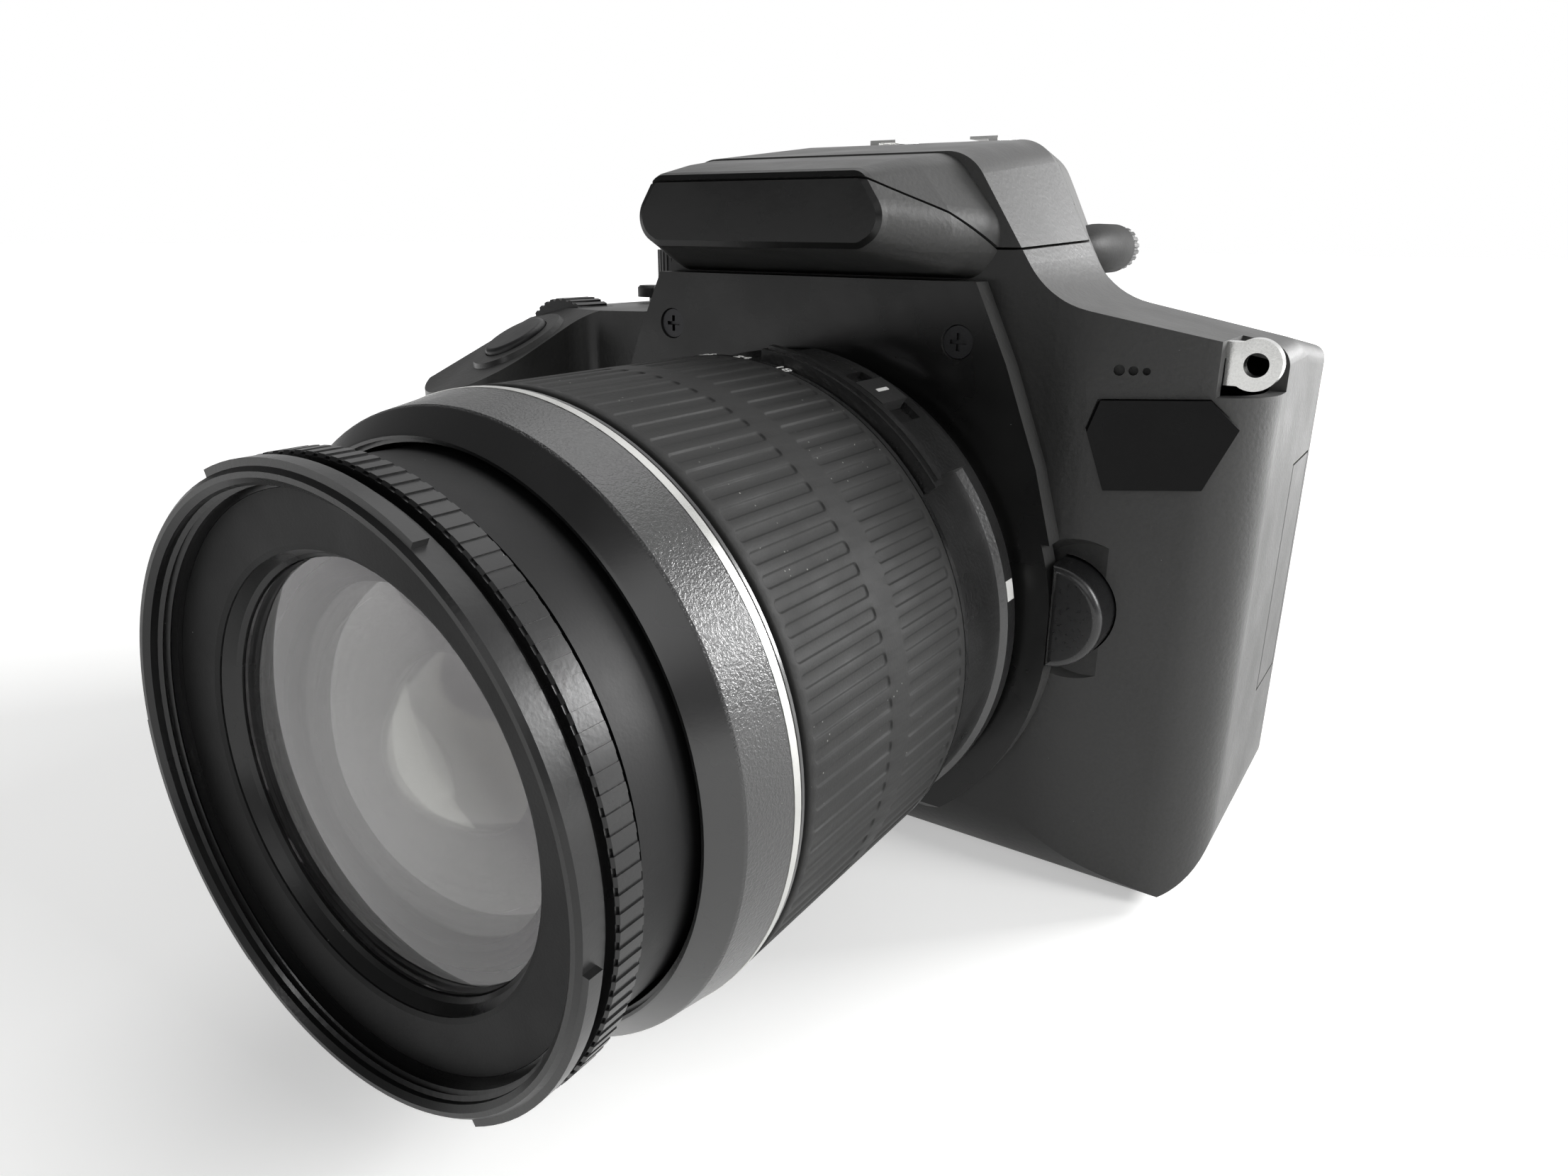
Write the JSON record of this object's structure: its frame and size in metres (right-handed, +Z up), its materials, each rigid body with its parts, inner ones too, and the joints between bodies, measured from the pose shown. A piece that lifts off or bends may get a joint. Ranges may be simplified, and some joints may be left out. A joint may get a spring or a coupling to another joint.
{
  "type": "dslr camera",
  "caption": "Single-lens reflex camera body with a hand grip, a finder hump with a lift-up flash, and a zoom lens with ribbed zoom ring and front focus ring.",
  "frame": {"origin": "mouth of the tripod socket on the underside of the body, below the lens axis", "axes": "+Z up; the lens looks along -Y; the hand grip is on the -X side"},
  "size_m": [0.1298, 0.1408, 0.1004],
  "materials": {
    "body_plastic": "fine moulded grain",
    "gloss_black": "smooth",
    "grip_rubber": "pebbled",
    "lens_plastic": "satin",
    "ribbed_rubber": "matte",
    "plain_black": "matte",
    "chrome": "polished",
    "steel": "brushed",
    "silver_ring": "turned",
    "coated_glass": "coated",
    "clear_glass": "clear",
    "display_glass": "gloss",
    "badge": "satin",
    "lamp": "translucent",
    "flash_lens": "frosted",
    "mirror_face": "first surface",
    "circuit_board": "varnished",
    "battery_case": "matte",
    "sensor": "filter glass"
  },
  "bodies": {
    "body": {"front_cover": "body_plastic", "top_cover": "body_plastic", "rear_cover": "body_plastic", "bottom_cover": "body_plastic", "cover_screws": "steel", "grip_rubbers": "grip_rubber", "badge_plate": "badge", "timer_lamp": "lamp", "mount_ring": "steel", "hot_shoe": "steel", "strap_lugs": "chrome", "display": "display_glass", "eyepiece_lens": "clear_glass", "eyecup": "ribbed_rubber", "chassis": "steel", "main_board": "circuit_board", "image_sensor": "sensor", "shutter_unit": "plain_black", "mirror_box": "plain_black", "finder_optics": "clear_glass", "battery_bay": "plain_black", "battery": "battery_case", "memory_card": "battery_case", "lens_mount": "steel", "rear_barrel": "lens_plastic", "rear_element": "coated_glass"},
    "zoom": {"zoom_ring": "lens_plastic", "zoom_grip": "ribbed_rubber", "line_ring": "silver_ring"},
    "inner_tube": {"inner_barrel": "plain_black", "middle_element": "coated_glass", "aperture_unit": "plain_black"},
    "focus_carrier": {"focus_tube": "plain_black"},
    "focus": {"focus_ring": "lens_plastic", "name_ring": "lens_plastic", "front_element": "coated_glass"},
    "focus_switch": {"focus_mode_switch": "plain_black"},
    "lens_release": {"lens_release_button": "gloss_black"},
    "shutter_key": {"shutter_button": "gloss_black"},
    "front_dial": {"main_dial": "plain_black"},
    "program_dial": {"mode_dial": "plain_black"},
    "power_switch": {"power_lever": "plain_black"},
    "flash_key": {"flash_button": "body_plastic"},
    "flash": {"flash_head": "gloss_black", "flash_window": "flash_lens"},
    "pad": {"four_way_pad": "gloss_black"},
    "dioptre": {"dioptre_knob": "plain_black"},
    "door": {"battery_door": "body_plastic"},
    "door_latch": {"battery_door_latch": "plain_black"},
    "port_cover": {"terminal_cover": "body_plastic"},
    "reflex_mirror": {"mirror": "mirror_face"},
    "live_view_key": {"live_view_button": "gloss_black"},
    "ae_lock_key": {"ae_lock_button": "gloss_black"},
    "af_point_key": {"af_point_button": "gloss_black"},
    "exposure_key": {"exposure_button": "gloss_black"},
    "quick_menu_key": {"quick_menu_button": "gloss_black"},
    "menu_key": {"menu_button": "gloss_black"},
    "playback_key": {"playback_button": "gloss_black"},
    "erase_key": {"erase_button": "gloss_black"},
    "set_key": {"set_button": "gloss_black"}
  },
  "joints": [
    {"name": "zoom_turn", "type": "hinge", "parent": "body", "child": "zoom", "pos_m": [0, -0.032, 0.038], "axis": [0, -1, 0], "range_deg": [-32, 48]},
    {"name": "zoom_extend", "type": "slide", "parent": "body", "child": "inner_tube", "axis": [0, -1, 0], "range_m": [-0.004, 0.006]},
    {"name": "focus_extend", "type": "slide", "parent": "inner_tube", "child": "focus_carrier", "axis": [0, -1, 0], "range_m": [-0.0008, 0.0016]},
    {"name": "focus_turn", "type": "hinge", "parent": "focus_carrier", "child": "focus", "pos_m": [0, -0.032, 0.038], "axis": [0, -1, 0], "range_deg": [-40, 80]},
    {"name": "focus_switch_turn", "type": "hinge", "parent": "body", "child": "focus_switch", "pos_m": [0, -0.032, 0.038], "axis": [0, -1, 0], "range_deg": [-4, 4]},
    {"name": "lens_release_press", "type": "slide", "parent": "body", "child": "lens_release", "axis": [0, 1, 0], "range_m": [0, 0.0018], "stiffness_N_per_m": 600},
    {"name": "shutter_press", "type": "slide", "parent": "body", "child": "shutter_key", "axis": [0.2, 0.4201, -0.8852], "range_m": [0, 0.0008], "stiffness_N_per_m": 500},
    {"name": "main_dial_turn", "type": "hinge", "parent": "body", "child": "front_dial", "pos_m": [-0.054, -0.018, 0.0672], "axis": [0, 1, 0], "continuous": true},
    {"name": "mode_dial_turn", "type": "hinge", "parent": "body", "child": "program_dial", "pos_m": [-0.043, 0.006, 0.08], "axis": [0, 0, 1], "continuous": true},
    {"name": "power_turn", "type": "hinge", "parent": "body", "child": "power_switch", "pos_m": [-0.043, 0.006, 0.076], "axis": [0, 0, 1], "range_deg": [0, 40]},
    {"name": "flash_button_press", "type": "slide", "parent": "body", "child": "flash_key", "axis": [0, 0, -1], "range_m": [0, 0.0006], "stiffness_N_per_m": 400},
    {"name": "flash_lift", "type": "hinge", "parent": "body", "child": "flash", "pos_m": [0, 0, 0.0948], "axis": [-1, 0, 0], "range_deg": [0, 75]},
    {"name": "pad_press", "type": "slide", "parent": "body", "child": "pad", "axis": [0, -1, 0], "range_m": [0, 0.0005], "stiffness_N_per_m": 400},
    {"name": "dioptre_turn", "type": "hinge", "parent": "body", "child": "dioptre", "pos_m": [0.0235, 0.025, 0.0845], "axis": [0, 1, 0], "range_deg": [-150, 150]},
    {"name": "battery_door_swing", "type": "hinge", "parent": "body", "child": "door", "pos_m": [-0.0455, -0.016, 0.0011], "axis": [0, -1, 0], "range_deg": [0, 90]},
    {"name": "battery_latch_slide", "type": "slide", "parent": "door", "child": "door_latch", "axis": [1, 0, 0], "range_m": [0, 0.002], "stiffness_N_per_m": 200},
    {"name": "terminal_cover_swing", "type": "hinge", "parent": "body", "child": "port_cover", "pos_m": [0.0574, 0.0036, 0.04], "axis": [0, 0, -1], "range_deg": [0, 100]},
    {"name": "mirror_lift", "type": "hinge", "parent": "body", "child": "reflex_mirror", "pos_m": [0, -0.0015, 0.0542], "axis": [-1, 0, 0], "range_deg": [0, 45], "stiffness_Nm_per_rad": 0.005, "springref_deg": -17.19},
    {"name": "live_view_press", "type": "slide", "parent": "body", "child": "live_view_key", "axis": [0, -1, 0], "range_m": [0, 0.0006], "stiffness_N_per_m": 300},
    {"name": "ae_lock_press", "type": "slide", "parent": "body", "child": "ae_lock_key", "axis": [0, -1, 0], "range_m": [0, 0.0006], "stiffness_N_per_m": 300},
    {"name": "af_point_press", "type": "slide", "parent": "body", "child": "af_point_key", "axis": [0, -1, 0], "range_m": [0, 0.0006], "stiffness_N_per_m": 300},
    {"name": "exposure_press", "type": "slide", "parent": "body", "child": "exposure_key", "axis": [0, -1, 0], "range_m": [0, 0.0006], "stiffness_N_per_m": 300},
    {"name": "quick_menu_press", "type": "slide", "parent": "body", "child": "quick_menu_key", "axis": [0, -1, 0], "range_m": [0, 0.0006], "stiffness_N_per_m": 300},
    {"name": "menu_press", "type": "slide", "parent": "body", "child": "menu_key", "axis": [0, -1, 0], "range_m": [0, 0.0006], "stiffness_N_per_m": 300},
    {"name": "playback_press", "type": "slide", "parent": "body", "child": "playback_key", "axis": [0, -1, 0], "range_m": [0, 0.0006], "stiffness_N_per_m": 300},
    {"name": "erase_press", "type": "slide", "parent": "body", "child": "erase_key", "axis": [0, -1, 0], "range_m": [0, 0.0006], "stiffness_N_per_m": 300},
    {"name": "set_press", "type": "slide", "parent": "body", "child": "set_key", "axis": [0, -1, 0], "range_m": [0, 0.0006], "stiffness_N_per_m": 300}
  ],
  "couplings": [
    {"joint": "zoom_extend", "follows": "zoom_turn", "m_per_rad": 0.00716},
    {"joint": "focus_extend", "follows": "focus_turn", "m_per_rad": 0.001145}
  ]
}
